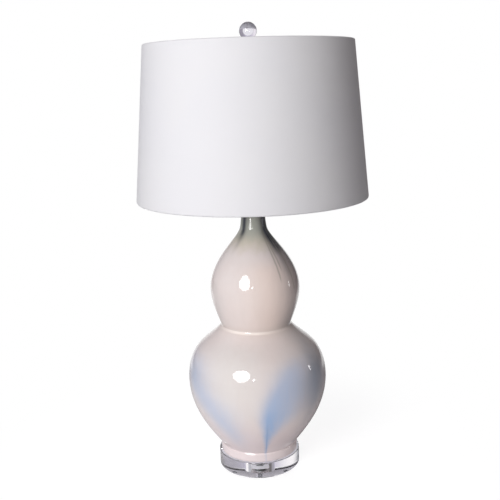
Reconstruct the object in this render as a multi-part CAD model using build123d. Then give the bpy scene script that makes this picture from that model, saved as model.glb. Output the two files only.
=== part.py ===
from build123d import *
import math
import os

# Table lamp with a double gourd ceramic body on a clear acrylic disc, a tapered
# drum shade on a harp and a clear ball finial.  Millimetres, +Z up, -Y is the
# front, the origin is the middle of the resting plane.

# ---------------------------------------------------------------- clearances
thread_clearance = 0.1        # radial gap of a threaded piece on its thread
running_clearance = 0.06      # radial gap of a shaft that turns in a hole
seat_gap = 0.1                # gap under a piece that lifts off its seat
sleeve_clearance = 0.4        # gap of the harp sleeves round what they hold

# ---------------------------------------------------------------- foot pads and disc
pad_radius = 5.0
pad_height = 1.5
pad_count = 4
pad_edge_margin = 8.0         # from the disc's bottom flat edge to a pad's rim
disc_radius = 79.0
disc_height = 32.0
disc_top_round = 1.0
disc_bottom_bevel = 2.6
disc_recess_radius = 18.8
disc_recess_depth = 9.0

# ---------------------------------------------------------------- lamp pipe and its nuts
pipe_radius = 5.0
pipe_bore_radius = 3.5
pipe_end_inset = 0.8          # pipe end above the disc's underside
pipe_slot_width = 4.6
pipe_slot_height = 9.0
washer_radius = 13.0
washer_thickness = 1.6
lock_washer_radius = 8.6
lock_washer_thickness = 1.4
lock_washer_split = 1.6
nut_flats = 17.0
nut_thickness = 4.8

# ---------------------------------------------------------------- gourd body
body_height = 476.0
body_wall = 7.0
foot_radius = 75.0
foot_height = 17.5
foot_wall = 8.0
foot_recess = 14.0
floor_thickness = 7.0
foot_groove = 1.4
foot_edge_round = 1.5
lower_belly_radius = 132.2
lower_belly_height = 129.5
waist_radius = 66.8
waist_height = 257.5
waist_round = 4.0
upper_belly_radius = 85.15
upper_belly_height = 334.4
neck_radius = 22.6
lip_radius = 24.6
lip_height = 10.0             # from the neck's end to the lip's top
lip_round = 2.0
# places that the outline passes through, as shares across and up between its main points
lower_flank_share = (0.60, 0.45)
lower_shoulder_share = (0.22, 0.62)
upper_shoulder_share = (0.393, 0.46)
throat_share = (0.922, 0.80)
# lean of the outline, as outward run for each millimetre of rise
foot_lean = 0.747
waist_lean_below = -0.776
waist_lean_above = 0.369
neck_lean = -0.12

# ---------------------------------------------------------------- cord bushing
bushing_bore_radius = 3.5
bushing_sleeve_radius = 4.5
bushing_flange_radius = 6.2
bushing_flange_thickness = 1.5
bushing_lip_radius = 5.1
bushing_lip_thickness = 1.2
bushing_clearance = 0.1

# ---------------------------------------------------------------- cap, neck, saddle
cap_radius = 23.2
cap_rise = 6.0
cap_sheet = 1.2
cap_spigot_depth = 3.0
cap_spigot_clearance = 0.4
cap_hub_radius = 9.0
cap_dome_share = (0.45, 0.72)
cap_hollow_share = (0.5, 0.34)
spacer_height = 12.0
spacer_radius = 8.0
spacer_collar_radius = 10.0
spacer_collar_height = 2.4
saddle_sheet = 1.6
saddle_width = 12.0
saddle_arm_reach = 25.6       # outer face of the upright arms
saddle_arm_height = 10.0      # ledge top above the saddle's underside
saddle_tab_height = 11.0
saddle_tab_width = 4.0
saddle_ledge = 7.6
saddle_nut_flats = 15.0
saddle_nut_thickness = 3.0

# ---------------------------------------------------------------- harp
harp_wire_radius = 1.7
harp_height = 279.4           # saddle underside to the shoulder that carries the shade
harp_half_width = 57.0
harp_leg_straight = 38.0
harp_flare_height = 100.0
harp_shoulder_drop = 62.0
harp_crown_half_width = 26.0
harp_bend_radii = [30, 60, 46, 16]    # from the leg up to the crown
harp_boss_radius = 6.0
harp_boss_height = 8.0
sleeve_length = 12.0
sleeve_wall = 0.9
stud_shoulder_radius = 7.0
stud_shoulder_height = 2.0
stud_thread_radius = 3.175
stud_thread_length = 10.4
stud_pin_radius = 1.5
stud_rivet_radius = 2.8
stud_rivet_height = 1.2

# ---------------------------------------------------------------- socket
socket_hub_radius = 7.5
socket_hub_height = 8.0
socket_cap_radius = 18.4
socket_cap_height = 28.0
socket_cap_sheet = 0.8
bowl_swell = 0.62             # how far the bowl's curve bulges, as a share of its width
shell_sheet = 0.5
shell_length = 52.0
shell_rim = 0.6
liner_sheet = 0.6
liner_inset = 3.0
core_clearance = 0.7
core_height = 22.0
core_flat = 12.2
screw_thread_pitch = 3.6
screw_thread_turns = 6
screw_thread_radius = 12.7    # mean radius of the bulb's thread
screw_thread_depth = 0.42
screw_thread_play = 0.35
screw_shell_sheet = 0.4
contact_width = 5.0
contact_sheet = 0.6
contact_rise = 3.0
terminal_shank_radius = 1.6
terminal_shank_length = 6.0
terminal_head_radius = 3.0
terminal_head_height = 2.0
set_screw_radius = 1.75
set_screw_head_radius = 3.0
set_screw_head_height = 3.2
switch_shaft_radius = 1.6
switch_shaft_depth = 7.0
switch_hole_play = 1.0
knob_radius = 6.0
knob_length = 15.0
knob_stand_off = 3.0
knob_flutes = 12
knob_flute_radius = 0.7
knob_hole_share = 0.7         # depth of the shaft's hole, as a share of the knob

# ---------------------------------------------------------------- bulb
bulb_length = 110.0
bulb_radius = 30.0
bulb_glass_sheet = 1.0
bulb_neck_radius = 11.3
bulb_contact_radius = 2.6
bulb_contact_height = 1.5
bulb_insulator_radius = 6.5
bulb_insulator_height = 4.0
bulb_base_sheet = 0.4
bulb_contact_gap = 0.3

# ---------------------------------------------------------------- shade
shade_bottom_radius = 215.9
shade_top_radius = 190.5
shade_height = 283.0
shade_rim_rise = 10.6         # top rim above the shoulder that carries the spider
fabric_sheet = 0.6
liner_card = 0.8
shade_ring_wire = 1.5
roll_turn = 270.0             # degrees that the fabric runs round a ring wire
spider_hub_radius = 13.0
spider_hub_bore = 3.4
spider_hub_thickness = 2.0
spider_wire_radius = 1.6
spider_arm_count = 3
spider_bend_radius = 10.0
spider_bend_run = 14.0
spider_notch_play = 0.2

# ---------------------------------------------------------------- finial
ball_radius = 16.0
finial_neck_height = 11.6
finial_cup_radius = 9.3
finial_flange_radius = 8.5
finial_flange_height = 1.5
finial_stem_radius = 5.6
finial_bore_depth = 11.0

# ---------------------------------------------------------------- levels worked out from the sizes
disc_bottom = pad_height
disc_top = disc_bottom + disc_height
recess_top = disc_bottom + disc_recess_depth
washer_bottom = recess_top - washer_thickness
lock_washer_bottom = washer_bottom - lock_washer_thickness
nut_bottom = lock_washer_bottom - nut_thickness
pipe_bottom = disc_bottom + pipe_end_inset
body_top = disc_top + body_height
neck_level = body_top - lip_height
bushing_level = disc_top + foot_height / 2
cap_top = body_top + cap_rise
saddle_bottom = cap_top + spacer_height
saddle_top = saddle_bottom + saddle_sheet
ledge_top = saddle_bottom + saddle_arm_height
socket_bottom = saddle_top + saddle_nut_thickness
hub_top = socket_bottom + socket_hub_height
cap_rim = socket_bottom + socket_cap_height
shoulder_top = saddle_bottom + harp_height
boss_top = shoulder_top - stud_shoulder_height - seat_gap
boss_bottom = boss_top - harp_boss_height
harp_crown = boss_top - harp_boss_height / 2
shade_top = shoulder_top + shade_rim_rise
shade_bottom = shade_top - shade_height
hub_plate_bottom = shoulder_top
hub_plate_top = hub_plate_bottom + spider_hub_thickness
ball_centre = hub_plate_top + finial_neck_height + ball_radius
pipe_hole_radius = pipe_radius + thread_clearance

# ---------------------------------------------------------------- socket levels and radii
shell_outer_radius = socket_cap_radius - socket_cap_sheet - thread_clearance
shell_inner_radius = shell_outer_radius - shell_sheet
shell_bottom = cap_rim - socket_cap_height / 2
shell_top = shell_bottom + shell_length
liner_outer_radius = shell_inner_radius - thread_clearance
liner_inner_radius = liner_outer_radius - liner_sheet
core_radius = liner_inner_radius - core_clearance
core_bottom = shell_bottom
core_top = core_bottom + core_height
contact_top = core_top + contact_rise
pipe_top = hub_top
set_screw_level = socket_bottom + (socket_hub_height - socket_cap_sheet) / 2
shaft_level = core_top - switch_shaft_radius * 2.5
bulb_bottom = contact_top + bulb_contact_gap
bulb_thread_bottom = bulb_bottom + bulb_contact_height + bulb_insulator_height - bulb_contact_gap
bulb_skirt_top = bulb_thread_bottom + (screw_thread_turns + 0.5) * screw_thread_pitch
knob_start = -(shell_outer_radius + knob_stand_off)
knob_hole_end = knob_start - knob_hole_share * knob_length
sleeve_bottom = ledge_top + seat_gap
harp_leg_x = saddle_arm_reach + seat_gap + harp_wire_radius
sleeve_centre_x = (saddle_arm_reach - saddle_sheet + harp_leg_x + harp_wire_radius) / 2
sleeve_bore_radius = math.hypot(
    sleeve_centre_x - saddle_arm_reach + saddle_sheet, saddle_tab_width / 2) + sleeve_clearance
shade_slant = math.hypot(shade_height, shade_bottom_radius - shade_top_radius)
shade_slope = math.atan2(shade_bottom_radius - shade_top_radius, shade_height)
roll_radius = fabric_sheet + liner_card + shade_ring_wire


def at(radius, level):
    """Point of an outline in the plane through the lamp's axis."""
    return Vector(radius, 0, level)


def between(start, end, across, up):
    """Point at a share of the way across and a share of the way up."""
    return at(start.X + (end.X - start.X) * across, start.Z + (end.Z - start.Z) * up)


def round_corner(start, end, centre):
    """Quarter of a circle, or less, from start to end about a centre."""
    radius = (start - centre).length
    outward = (start + end) * 0.5 - centre
    return ThreePointArc(start, centre + outward.normalized() * radius, end)


def turned(*edges):
    """Solid that a closed outline sweeps round the lamp's axis."""
    return revolve(make_face(edges), Axis.Z)


def turned_polygon(*corners):
    return turned(Polyline(*corners, close=True))


def tube(inner, outer, bottom, top):
    """Plain ring or tube round the lamp's axis."""
    return turned_polygon(at(inner, bottom), at(outer, bottom), at(outer, top), at(inner, top))


def hex_nut(flats, hole, bottom, thickness):
    block = extrude(Pos(0, 0, bottom) * RegularPolygon(flats / 2, 6, major_radius=False), thickness)
    return block - tube(0.0, hole, bottom - 1, bottom + thickness + 1) if hole else block


def rod_along_y(radius, y_start, y_end, level, x=0.0):
    """Round bar along Y, from y_start to y_end."""
    middle = (y_start + y_end) / 2
    return Pos(x, middle, level) * Rot(90, 0, 0) * Cylinder(radius, abs(y_end - y_start))


def rod_along_x(radius, x_start, x_end, level):
    """Round bar along X, from x_start to x_end."""
    middle = (x_start + x_end) / 2
    return Pos(middle, 0, level) * Rot(0, 90, 0) * Cylinder(radius, abs(x_end - x_start))


def cylinder_at(radius, bottom, top, x=0.0, y=0.0):
    return Pos(x, y, (bottom + top) / 2) * Cylinder(radius, top - bottom)


def save(shape, node):
    """One file per piece, with every separate solid of the piece in it."""
    solids = list(shape.solids())
    piece = solids[0] if len(solids) == 1 else Compound(children=solids)
    piece.label = node
    export_step(piece, "parts/" + node + ".step")


# ---------------------------------------------------------------- base
def foot_pads():
    ring = disc_radius - disc_bottom_bevel - pad_edge_margin - pad_radius
    pad = cylinder_at(pad_radius, 0, pad_height, x=ring)
    first_angle = 180 / pad_count
    return Compound(children=[Rot(0, 0, first_angle + 360 / pad_count * i) * pad for i in range(pad_count)])


def acrylic_base():
    side_bottom = disc_bottom + disc_bottom_bevel
    side_top = disc_top - disc_top_round
    outer = Polyline(
        at(pipe_hole_radius, disc_top), at(pipe_hole_radius, recess_top), at(disc_recess_radius, recess_top),
        at(disc_recess_radius, disc_bottom), at(disc_radius - disc_bottom_bevel, disc_bottom),
        at(disc_radius, side_bottom), at(disc_radius, side_top))
    corner = round_corner(at(disc_radius, side_top), at(disc_radius - disc_top_round, disc_top),
                          at(disc_radius - disc_top_round, side_top))
    top = Line(at(disc_radius - disc_top_round, disc_top), at(pipe_hole_radius, disc_top))
    return turned(outer, corner, top)


def base_washer():
    return tube(pipe_hole_radius, washer_radius, washer_bottom, recess_top)


def lock_washer():
    ring = tube(pipe_hole_radius, lock_washer_radius, lock_washer_bottom, washer_bottom)
    middle = (lock_washer_bottom + washer_bottom) / 2
    split = Pos(lock_washer_radius / 2, 0, middle) * Box(
        lock_washer_radius + 1, lock_washer_split, lock_washer_thickness * 2)
    return ring - split


def base_nut():
    return hex_nut(nut_flats, pipe_hole_radius, nut_bottom, nut_thickness)


def lamp_pipe():
    pipe = tube(pipe_bore_radius, pipe_radius, pipe_bottom, pipe_top)
    slot = Pos(0, pipe_radius, bushing_level) * Box(pipe_slot_width, 2 * pipe_radius, pipe_slot_height)
    return pipe - slot


# ---------------------------------------------------------------- gourd body
def gourd_curves(inset, start):
    """The two swelling curves of the gourd, drawn in by inset, from start up to the neck."""
    belly = at(lower_belly_radius - inset, disc_top + lower_belly_height)
    waist = at(waist_radius - inset, disc_top + waist_height)
    upper = at(upper_belly_radius - inset, disc_top + upper_belly_height)
    neck = at(neck_radius - inset, neck_level)
    lower_curve = Spline(
        start, between(start, belly, *lower_flank_share), belly,
        between(belly, waist, *lower_shoulder_share), waist,
        tangents=[(foot_lean, 0, 1), (waist_lean_below, 0, 1)])
    upper_curve = Spline(
        waist, upper, between(upper, neck, *upper_shoulder_share),
        between(upper, neck, *throat_share), neck,
        tangents=[(waist_lean_above, 0, 1), (neck_lean, 0, 1)])
    return lower_curve, upper_curve


def gourd_body():
    groove = at(foot_radius - foot_groove, disc_top + foot_height)
    band_top = at(foot_radius, disc_top + foot_height - 2 * foot_groove)
    band_bottom = at(foot_radius, disc_top + foot_edge_round)
    foot_outer = at(foot_radius - foot_edge_round, disc_top)
    foot_inner = at(foot_radius - foot_wall, disc_top)
    recess_corner = at(foot_radius - foot_wall, disc_top + foot_recess)
    hole_bottom = at(pipe_hole_radius, disc_top + foot_recess)
    floor_level = disc_top + foot_recess + floor_thickness
    hole_top = at(pipe_hole_radius, floor_level)
    floor_edge = at(foot_radius - body_wall, floor_level)
    neck = at(neck_radius, neck_level)
    lip_side = at(lip_radius, body_top - lip_round)
    lip_edge = at(lip_radius - lip_round, body_top)
    bore_top = at(neck_radius - body_wall, body_top)
    bore_bottom = at(neck_radius - body_wall, neck_level)
    outer_lower, outer_upper = gourd_curves(0, groove)
    inner_lower, inner_upper = gourd_curves(body_wall, floor_edge)
    outline = [
        round_corner(foot_outer, band_bottom, at(foot_outer.X, band_bottom.Z)), Line(band_bottom, band_top),
        Line(band_top, groove), outer_lower, outer_upper, Line(neck, lip_side),
        round_corner(lip_side, lip_edge, at(lip_edge.X, lip_side.Z)),
        Line(lip_edge, bore_top), Line(bore_top, bore_bottom), inner_upper, inner_lower,
        Polyline(floor_edge, hole_top, hole_bottom, recess_corner, foot_inner, foot_outer)]
    body = turned(*outline)
    waist_level = disc_top + waist_height
    creases = [edge for edge in body.edges().filter_by(GeomType.CIRCLE)
               if abs(edge.center().Z - waist_level) < 0.01 and abs(edge.radius - waist_radius) < 0.01]
    body = fillet(creases, waist_round)
    cord_hole = rod_along_y(bushing_sleeve_radius + bushing_clearance, foot_radius - 2 * foot_wall,
                            foot_radius + foot_wall, bushing_level)
    return body - cord_hole


def cord_bushing():
    sleeve_start = bushing_lip_start() - bushing_lip_thickness
    flange_start = foot_radius + seat_gap
    flange_end = flange_start + bushing_flange_thickness
    sleeve = rod_along_y(bushing_sleeve_radius, sleeve_start, flange_end, bushing_level)
    flange = rod_along_y(bushing_flange_radius, flange_start, flange_end, bushing_level)
    lip = rod_along_y(bushing_lip_radius, sleeve_start, bushing_lip_start(), bushing_level)
    bore = rod_along_y(bushing_bore_radius, sleeve_start - 1, flange_end + 1, bushing_level)
    return sleeve + flange + lip - bore


def bushing_lip_start():
    """The lip's face lies behind the curved inner wall of the foot."""
    inner_wall = foot_radius - foot_wall
    return math.sqrt(inner_wall ** 2 - bushing_lip_radius ** 2) - seat_gap


# ---------------------------------------------------------------- cap, neck and saddle
def vase_cap():
    spigot_radius = neck_radius - body_wall - cap_spigot_clearance
    spigot_inner = spigot_radius - cap_sheet
    rim_top = at(cap_radius, body_top + cap_sheet)
    hub_edge = at(cap_hub_radius, cap_top)
    under_hub = at(cap_hub_radius, cap_top - cap_sheet)
    under_start = at(spigot_inner, body_top)
    crown = ThreePointArc(rim_top, between(rim_top, hub_edge, *cap_dome_share), hub_edge)
    flat = Polyline(
        hub_edge, at(pipe_hole_radius, cap_top), at(pipe_hole_radius, cap_top - cap_sheet), under_hub)
    under = ThreePointArc(under_hub, between(under_hub, under_start, *cap_hollow_share), under_start)
    spigot = Polyline(
        under_start, at(spigot_inner, body_top - cap_spigot_depth),
        at(spigot_radius, body_top - cap_spigot_depth), at(spigot_radius, body_top), at(cap_radius, body_top),
        rim_top)
    return turned(crown, flat, under, spigot)


def neck_spacer():
    waist_inset = spacer_collar_radius - spacer_radius
    lower = tube(pipe_hole_radius, spacer_collar_radius, cap_top, cap_top + spacer_collar_height)
    upper = tube(pipe_hole_radius, spacer_collar_radius, saddle_bottom - spacer_collar_height, saddle_bottom)
    barrel = tube(pipe_hole_radius, spacer_collar_radius - waist_inset, cap_top, saddle_bottom)
    return lower + barrel + upper


def harp_saddle():
    plate = Pos(0, 0, saddle_bottom + saddle_sheet / 2) * Box(
        2 * saddle_arm_reach, saddle_width, saddle_sheet)
    saddle = plate - cylinder_at(pipe_hole_radius, saddle_bottom - 1, saddle_top + 1)
    for side in (-1, 1):
        arm_x = side * (saddle_arm_reach - saddle_sheet / 2)
        ledge_x = side * (saddle_arm_reach - saddle_sheet + saddle_ledge / 2 + saddle_sheet / 2)
        arm = Pos(arm_x, 0, saddle_bottom + saddle_arm_height / 2) * Box(
            saddle_sheet, saddle_width, saddle_arm_height)
        ledge = Pos(ledge_x, 0, ledge_top - saddle_sheet / 2) * Box(
            saddle_ledge + saddle_sheet, saddle_width, saddle_sheet)
        tab = Pos(arm_x, 0, ledge_top + saddle_tab_height / 2) * Box(
            saddle_sheet, saddle_tab_width, saddle_tab_height)
        saddle = saddle + arm + ledge + tab
    bends = [edge for edge in saddle.edges().filter_by(Axis.Y)
             if abs(edge.center().Z - saddle_bottom) < 0.01]
    return fillet(bends, saddle_sheet * 0.9)


def saddle_nut():
    return hex_nut(saddle_nut_flats, pipe_hole_radius, saddle_top, saddle_nut_thickness)


# ---------------------------------------------------------------- harp
def harp_path():
    """One side of the loop, from the leg's foot on the saddle to the crown."""
    foot_level = ledge_top + seat_gap
    leg_top = foot_level + harp_leg_straight
    corners = [
        at(harp_leg_x, foot_level), at(harp_leg_x, leg_top), at(harp_half_width, leg_top + harp_flare_height),
        at(harp_half_width, harp_crown - harp_shoulder_drop), at(harp_crown_half_width, harp_crown),
        at(0, harp_crown)]
    return FilletPolyline(*corners, radius=harp_bend_radii)


def harp_wire():
    path = harp_path()
    section = Plane(origin=path @ 0, z_dir=path % 0) * Circle(harp_wire_radius)
    side = sweep(section, path)
    side = side - cylinder_at(harp_boss_radius, boss_bottom - 1, boss_top + 1)
    return Compound(children=[side, mirror(side, Plane.YZ)])


def harp_boss():
    bore = stud_pin_radius + running_clearance
    return tube(bore, harp_boss_radius, boss_bottom, boss_top)


def harp_sleeve(side):
    middle = Pos(side * sleeve_centre_x, 0, sleeve_bottom + sleeve_length / 2)
    outer = middle * Cylinder(sleeve_bore_radius + sleeve_wall, sleeve_length)
    inner = middle * Cylinder(sleeve_bore_radius, sleeve_length + 2)
    rims = (outer - inner).edges().filter_by(GeomType.CIRCLE).sort_by(SortBy.RADIUS)[-2:]
    return fillet(rims, sleeve_wall * 0.4)


def harp_stud():
    shoulder_bottom = shoulder_top - stud_shoulder_height
    rivet_top = boss_bottom - seat_gap
    rivet_bottom = rivet_top - stud_rivet_height
    stud_top = shoulder_top + stud_thread_length
    tip = stud_thread_radius * 0.25
    return turned_polygon(
        at(0, rivet_bottom), at(stud_rivet_radius, rivet_bottom), at(stud_rivet_radius, rivet_top),
        at(stud_pin_radius, rivet_top), at(stud_pin_radius, shoulder_bottom),
        at(stud_shoulder_radius, shoulder_bottom), at(stud_shoulder_radius, shoulder_top),
        at(stud_thread_radius, shoulder_top), at(stud_thread_radius, stud_top - tip),
        at(stud_thread_radius - tip, stud_top), at(0, stud_top))


# ---------------------------------------------------------------- socket
def thread_wave(radius, bottom, turns):
    """Rolled thread seen in section: crests and roots as arcs that meet at the mean radius."""
    arcs = []
    half_pitch = screw_thread_pitch / 2
    for step in range(2 * turns):
        start = bottom + step * half_pitch
        swing = screw_thread_depth * (1 if step % 2 else -1)
        arcs.append(ThreePointArc(
            at(radius, start), at(radius + swing, start + half_pitch / 2), at(radius, start + half_pitch)))
    return arcs


def socket_cap():
    bowl_top = at(socket_cap_radius, cap_rim - socket_cap_height / 2)
    rim = at(socket_cap_radius, cap_rim)
    rim_inner = at(socket_cap_radius - socket_cap_sheet, cap_rim)
    bowl_inner = at(socket_cap_radius - socket_cap_sheet, bowl_top.Z)
    hub_outer = at(socket_hub_radius, socket_bottom)
    hub_shoulder = at(socket_hub_radius, hub_top - socket_cap_sheet)
    floor_outer = at(socket_hub_radius, hub_top)
    bowl = ThreePointArc(hub_shoulder, between(hub_shoulder, bowl_top, bowl_swell, 1 - bowl_swell), bowl_top)
    bowl_inside = ThreePointArc(
        bowl_inner, between(floor_outer, bowl_inner, bowl_swell, 1 - bowl_swell), floor_outer)
    return turned(
        Polyline(at(pipe_hole_radius, hub_top), at(pipe_hole_radius, socket_bottom), hub_outer, hub_shoulder),
        bowl, Polyline(bowl_top, rim, rim_inner, bowl_inner), bowl_inside,
        Line(floor_outer, at(pipe_hole_radius, hub_top))) - set_screw_hole()


def set_screw_hole():
    return rod_along_y(set_screw_radius + running_clearance, 0, 2 * socket_hub_radius, set_screw_level)


def cap_set_screw():
    head_start = socket_hub_radius + seat_gap
    shank = rod_along_y(set_screw_radius, pipe_radius + seat_gap, head_start + 1, set_screw_level)
    head = rod_along_y(set_screw_head_radius, head_start, head_start + set_screw_head_height, set_screw_level)
    slot = Pos(0, head_start + set_screw_head_height, set_screw_level) * Box(
        2 * set_screw_head_radius + 1, set_screw_head_height * 0.6, set_screw_radius * 0.5)
    return shank + head - slot


def shaft_hole(radius):
    return rod_along_y(radius, -2 * socket_cap_radius, 0, shaft_level)


def socket_shell():
    wall = tube(shell_inner_radius, shell_outer_radius, shell_bottom, shell_top)
    rim = tube(shell_inner_radius, shell_outer_radius + shell_rim, shell_top - 2 * shell_rim, shell_top)
    return wall + rim - shaft_hole(switch_shaft_radius + switch_hole_play)


def socket_liner():
    wall = tube(liner_inner_radius, liner_outer_radius, shell_bottom, shell_top - liner_inset)
    return wall - shaft_hole(switch_shaft_radius + switch_hole_play)


def socket_core():
    bevel = core_radius * 0.25
    block = turned_polygon(
        at(0, core_bottom - bevel), at(core_radius - 2 * bevel, core_bottom - bevel),
        at(core_radius, core_bottom), at(core_radius, core_top), at(0, core_top))
    middle = (core_bottom + core_top) / 2
    for side in (-1, 1):
        flat = Pos(side * (core_flat + core_radius / 2), 0, middle) * Box(
            core_radius, 2 * core_radius, core_height * 0.6)
        block = block - flat
    holes = rod_along_x(terminal_shank_radius + running_clearance, -core_radius, core_radius, middle)
    shaft_bore = rod_along_y(switch_shaft_radius + running_clearance, -2 * core_radius,
                             -core_radius + switch_shaft_depth, shaft_level)
    wire_bore = cylinder_at(pipe_bore_radius, core_bottom - 2 * bevel, middle - core_flat / 3)
    middle_web = rod_along_x(2 * terminal_shank_radius, -core_flat + terminal_shank_length,
                             core_flat - terminal_shank_length, middle)
    return block - (holes - middle_web) - shaft_bore - wire_bore


def screw_shell():
    radius = screw_thread_radius + screw_thread_play
    thread_bottom = contact_top + bulb_contact_height + bulb_insulator_height
    wave_inner = thread_wave(radius, thread_bottom, screw_thread_turns)
    wave_outer = thread_wave(radius + screw_shell_sheet, thread_bottom, screw_thread_turns)
    floor_radius = core_radius * 0.6
    inner_start = wave_inner[0] @ 0
    inner_end = wave_inner[-1] @ 1
    outer_start = wave_outer[0] @ 0
    outer_end = wave_outer[-1] @ 1
    floor = Polyline(
        inner_start, at(inner_start.X, core_top + screw_shell_sheet),
        at(floor_radius, core_top + screw_shell_sheet), at(floor_radius, core_top),
        at(outer_start.X, core_top), outer_start)
    return turned(*wave_inner, Line(inner_end, outer_end), *wave_outer, floor)


def center_contact():
    """Springy brass tongue: a foot on the core, a riser and a raised tip."""
    half = contact_width / 2
    foot = Pos(half, 0, core_top + contact_sheet / 2) * Box(contact_width, contact_width, contact_sheet)
    riser = Pos(contact_width - contact_sheet / 2, 0, core_top + contact_rise / 2) * Box(
        contact_sheet, contact_width, contact_rise)
    tip = Pos(contact_width / 2 - contact_sheet, 0, contact_top - contact_sheet / 2) * Box(
        contact_width + 2 * contact_sheet, contact_width, contact_sheet)
    return foot + riser + tip


def terminal_screws():
    middle = (core_bottom + core_top) / 2
    shank = rod_along_x(terminal_shank_radius, core_flat - terminal_shank_length, core_flat + 1, middle)
    head = rod_along_x(terminal_head_radius, core_flat, core_flat + terminal_head_height, middle)
    slot = Pos(core_flat + terminal_head_height, 0, middle) * Box(
        terminal_head_height, 2 * terminal_head_radius + 1, terminal_shank_radius * 0.5)
    screw = shank + head - slot
    return Compound(children=[screw, mirror(screw, Plane.YZ)])


# ---------------------------------------------------------------- switch
def switch_shaft():
    inner_end = -core_radius + switch_shaft_depth
    return rod_along_y(switch_shaft_radius, inner_end, knob_hole_end, shaft_level)


def switch_knob():
    tip = knob_start - knob_length
    knob = rod_along_y(knob_radius, knob_start, tip, shaft_level)
    knob = fillet(knob.edges().filter_by(GeomType.CIRCLE).sort_by(Axis.Y)[0], knob_radius * 0.25)
    for i in range(knob_flutes):
        angle = math.radians(360 / knob_flutes * i)
        flute = rod_along_y(knob_flute_radius, knob_start - 2 * knob_flute_radius, tip - 1,
                            shaft_level + knob_radius * math.sin(angle), x=knob_radius * math.cos(angle))
        knob = knob - flute
    hole = rod_along_y(switch_shaft_radius + running_clearance, knob_start + 1,
                       knob_hole_end - running_clearance, shaft_level)
    return knob - hole


# ---------------------------------------------------------------- bulb
def bulb_contact():
    top = bulb_bottom + bulb_contact_height
    shoulder = bulb_bottom + bulb_contact_height * 0.6
    return turned_polygon(
        at(0, bulb_bottom), at(bulb_contact_radius * 0.55, bulb_bottom), at(bulb_contact_radius, shoulder),
        at(bulb_contact_radius, top), at(0, top))


def bulb_insulator():
    bottom = bulb_bottom + bulb_contact_height
    top = bulb_thread_bottom
    return turned_polygon(
        at(0, bottom), at(bulb_contact_radius, bottom), at(bulb_insulator_radius, top - seat_gap),
        at(bulb_insulator_radius, top), at(0, top))


def bulb_base():
    wave = thread_wave(screw_thread_radius, bulb_thread_bottom, screw_thread_turns)
    inner = thread_wave(screw_thread_radius - bulb_base_sheet, bulb_thread_bottom, screw_thread_turns)
    inner_start = inner[0] @ 0
    inner_end = inner[-1] @ 1
    outer_start = wave[0] @ 0
    outer_end = wave[-1] @ 1
    shoulder = Polyline(
        outer_end, at(outer_end.X, bulb_skirt_top), at(inner_end.X, bulb_skirt_top), inner_end)
    wall = turned(*wave, shoulder, *inner, Line(inner_start, outer_start))
    plate = tube(bulb_insulator_radius * 0.5, outer_start.X, bulb_thread_bottom,
                 bulb_thread_bottom + bulb_base_sheet)
    return wall + plate


def bulb_glass():
    start = bulb_skirt_top - screw_thread_pitch * 2
    outer = glass_outline(0, start)
    inner = glass_outline(bulb_glass_sheet, start)
    mouth = Line(outer[0] @ 0, inner[0] @ 0)
    crown = Line(outer[-1] @ 1, inner[-1] @ 1)
    return turned(*outer, crown, *inner, mouth)


def glass_outline(inset, start):
    """Straight neck, swelling shoulder and round crown, drawn in by inset."""
    centre = bulb_bottom + bulb_length - bulb_radius
    radius = bulb_radius - inset
    dip = math.radians(28)
    neck = at(bulb_neck_radius - inset, start)
    neck_top = at(bulb_neck_radius - inset, bulb_skirt_top)
    tangent_point = at(radius * math.cos(dip), centre - radius * math.sin(dip))
    shoulder = Spline(neck_top, tangent_point, tangents=[(0, 0, 1), (math.sin(dip), 0, math.cos(dip))])
    crown = ThreePointArc(tangent_point, at(radius * math.cos(dip), centre + radius * math.sin(dip)),
                          at(0, centre + radius))
    return [Line(neck, neck_top), shoulder, crown]


# ---------------------------------------------------------------- shade
def on_shade(along, inward):
    """Point at a distance up the slant from the bottom rim and a depth inward from the outer face."""
    radius = shade_bottom_radius - along * math.sin(shade_slope) - inward * math.cos(shade_slope)
    level = shade_bottom + along * math.cos(shade_slope) - inward * math.sin(shade_slope)
    return at(radius, level)


def slanted_wall(from_depth, to_depth):
    low = roll_radius
    high = shade_slant - roll_radius
    return turned_polygon(
        on_shade(low, from_depth), on_shade(low, to_depth), on_shade(high, to_depth),
        on_shade(high, from_depth))


def rolled_edge(along, direction):
    """Fabric turned round the ring wire."""
    inner = roll_radius - fabric_sheet

    def rim(radius, turn):
        angle = math.radians(turn)
        return on_shade(along + direction * radius * math.sin(angle), roll_radius - radius * math.cos(angle))

    outer_arc = ThreePointArc(
        rim(roll_radius, 0), rim(roll_radius, roll_turn / 2), rim(roll_radius, roll_turn))
    inner_arc = ThreePointArc(rim(inner, roll_turn), rim(inner, roll_turn / 2), rim(inner, 0))
    return turned(outer_arc, Line(rim(roll_radius, roll_turn), rim(inner, roll_turn)), inner_arc,
                  Line(rim(inner, 0), rim(roll_radius, 0)))


def shade_fabric():
    skin = slanted_wall(0, fabric_sheet)
    skin = skin + rolled_edge(roll_radius, -1) + rolled_edge(shade_slant - roll_radius, 1)
    return skin - spider_wires(spider_wire_radius + spider_notch_play)


def shade_liner():
    return slanted_wall(fabric_sheet, fabric_sheet + liner_card)


def ring_wire(along):
    centre = on_shade(along, roll_radius)
    return Pos(0, 0, centre.Z) * Torus(centre.X, shade_ring_wire)


def top_ring():
    return ring_wire(shade_slant - roll_radius)


def bottom_ring():
    return ring_wire(roll_radius)


def spider_hub():
    return tube(spider_hub_bore, spider_hub_radius, hub_plate_bottom, hub_plate_top)


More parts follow.
